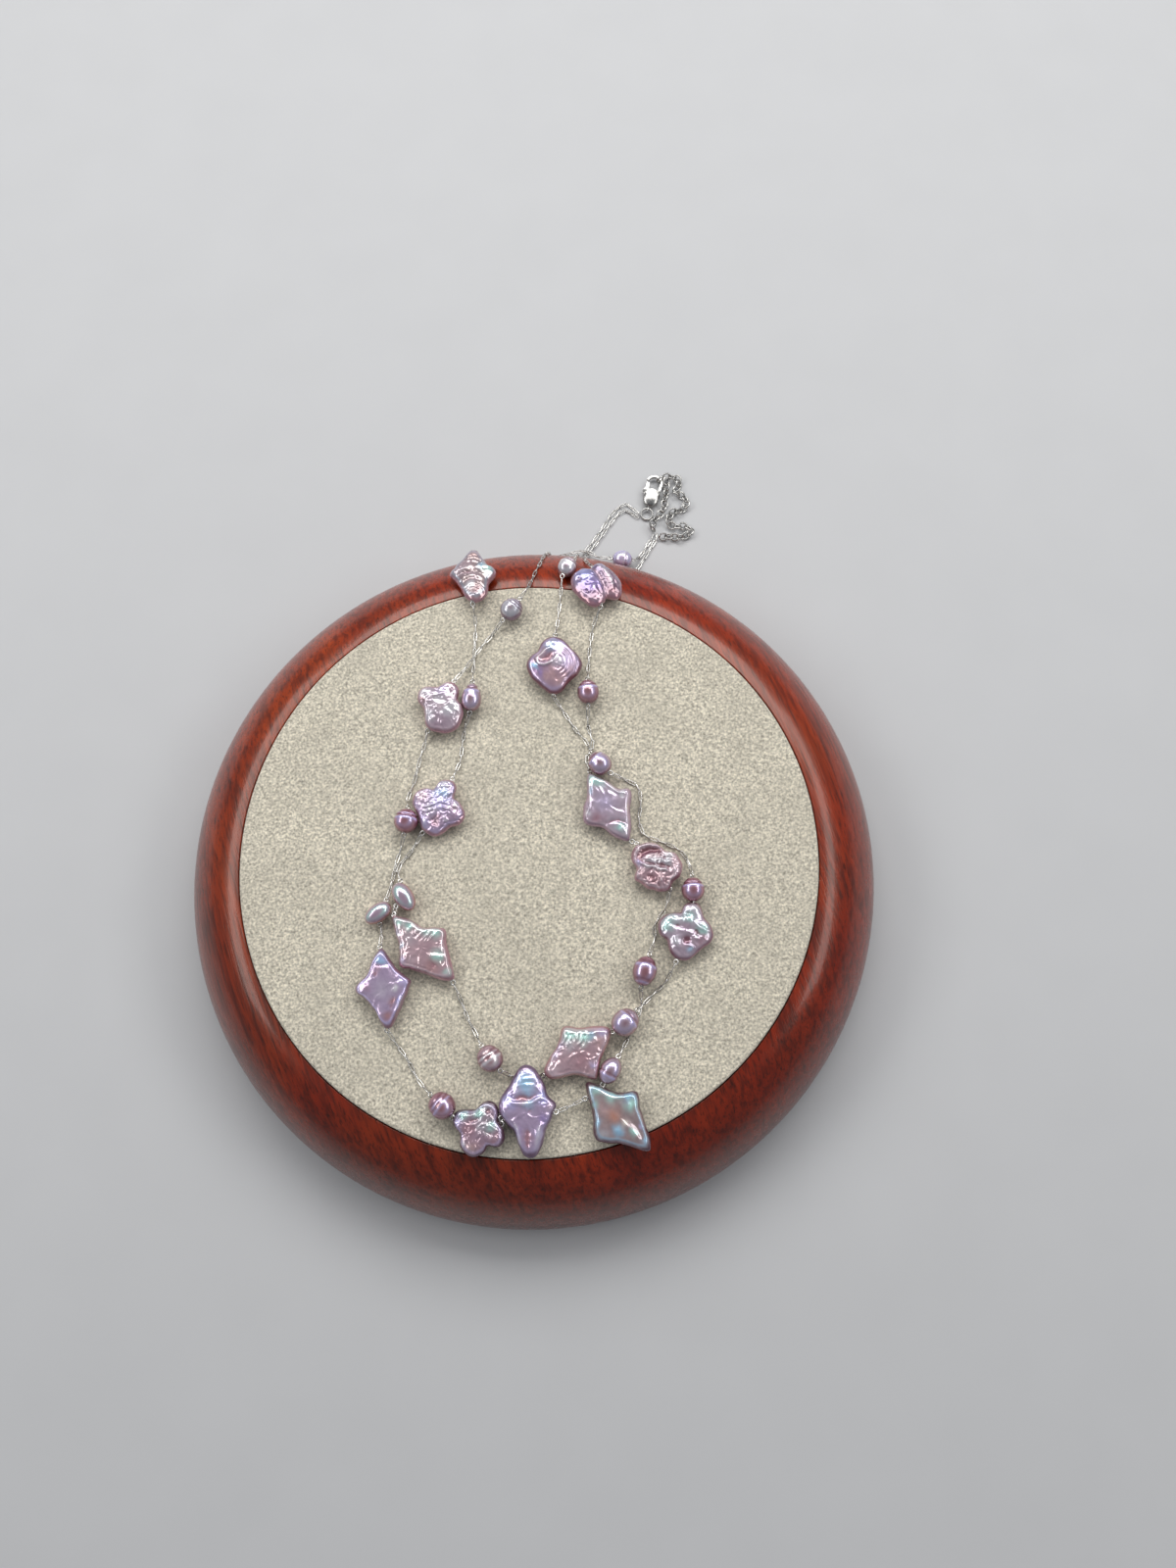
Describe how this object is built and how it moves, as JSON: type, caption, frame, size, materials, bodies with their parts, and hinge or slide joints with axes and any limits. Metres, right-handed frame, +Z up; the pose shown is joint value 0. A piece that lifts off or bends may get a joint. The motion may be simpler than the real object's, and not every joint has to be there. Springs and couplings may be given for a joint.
{
  "type": "double-strand pearl necklace on a round display stand",
  "caption": "Station necklace of shaped pearls on two fine chains with a lobster clasp and extender, lying on a round wooden stand with a suede pad.",
  "frame": {"origin": "centre of the stand's flat underside", "axes": "+Z is up, square to the flat face that the stand rests on. +Y runs from the middle of the stand to the back, where the clasp and the extender chain lie, and is the row's longest extent. +X is to the right seen from the front."},
  "size_m": [0.192, 0.2232, 0.0354],
  "materials": {
    "wood": "red-brown turned hardwood, satin lacquer",
    "suede": "cream microsuede with a short nap",
    "rose_pearl": "pink nacre, pearly lustre",
    "mauve_pearl": "mauve nacre, pearly lustre",
    "lavender_pearl": "lavender nacre, pearly lustre",
    "silver_pearl": "silver-grey nacre, pearly lustre",
    "bright_metal": "polished silver-coloured metal"
  },
  "bodies": {
    "necklace_on_stand": {"wood_base": "wood", "suede_pad": "suede", "pearl_small_01": "silver_pearl", "pearl_small_02": "mauve_pearl", "pearl_small_03": "mauve_pearl", "pearl_small_04": "mauve_pearl", "pearl_small_05": "rose_pearl", "pearl_small_06": "silver_pearl", "pearl_small_07": "mauve_pearl", "pearl_small_08": "rose_pearl", "pearl_small_09": "rose_pearl", "pearl_small_10": "mauve_pearl", "pearl_small_11": "rose_pearl", "pearl_small_12": "silver_pearl", "pearl_small_13": "mauve_pearl", "pearl_small_14": "mauve_pearl", "pearl_small_15": "lavender_pearl", "pearl_flower_01": "lavender_pearl", "pearl_flower_02": "mauve_pearl", "pearl_flower_03": "lavender_pearl", "pearl_flower_04": "lavender_pearl", "pearl_flower_05": "rose_pearl", "pearl_flower_06": "rose_pearl", "pearl_flower_07": "rose_pearl", "pearl_star": "rose_pearl", "pearl_diamond_01": "rose_pearl", "pearl_diamond_02": "rose_pearl", "pearl_diamond_03": "mauve_pearl", "pearl_diamond_04": "mauve_pearl", "pearl_diamond_05": "lavender_pearl", "pearl_diamond_06": "lavender_pearl", "strand_1_right": "bright_metal", "strand_1_front": "bright_metal", "strand_1_left": "bright_metal", "strand_1_back": "bright_metal", "strand_2_right": "bright_metal", "strand_2_front": "bright_metal", "strand_2_left": "bright_metal", "strand_2_back": "bright_metal", "clasp_body": "bright_metal", "clasp_jump_ring": "bright_metal", "connector_ring": "bright_metal", "extender_chain": "bright_metal", "extender_hooked_link": "bright_metal", "extender_tail": "bright_metal"},
    "clasp_lever": {"clasp_lever": "bright_metal"}
  },
  "joints": [
    {"name": "clasp_lever_hinge", "type": "hinge", "parent": "necklace_on_stand", "child": "clasp_lever", "pos_m": [0.03325, 0.1199, 0.0013], "axis": [0, 0, -1], "range_deg": [0, 25], "stiffness_Nm_per_rad": 0.005, "springref_deg": -17.19}
  ]
}
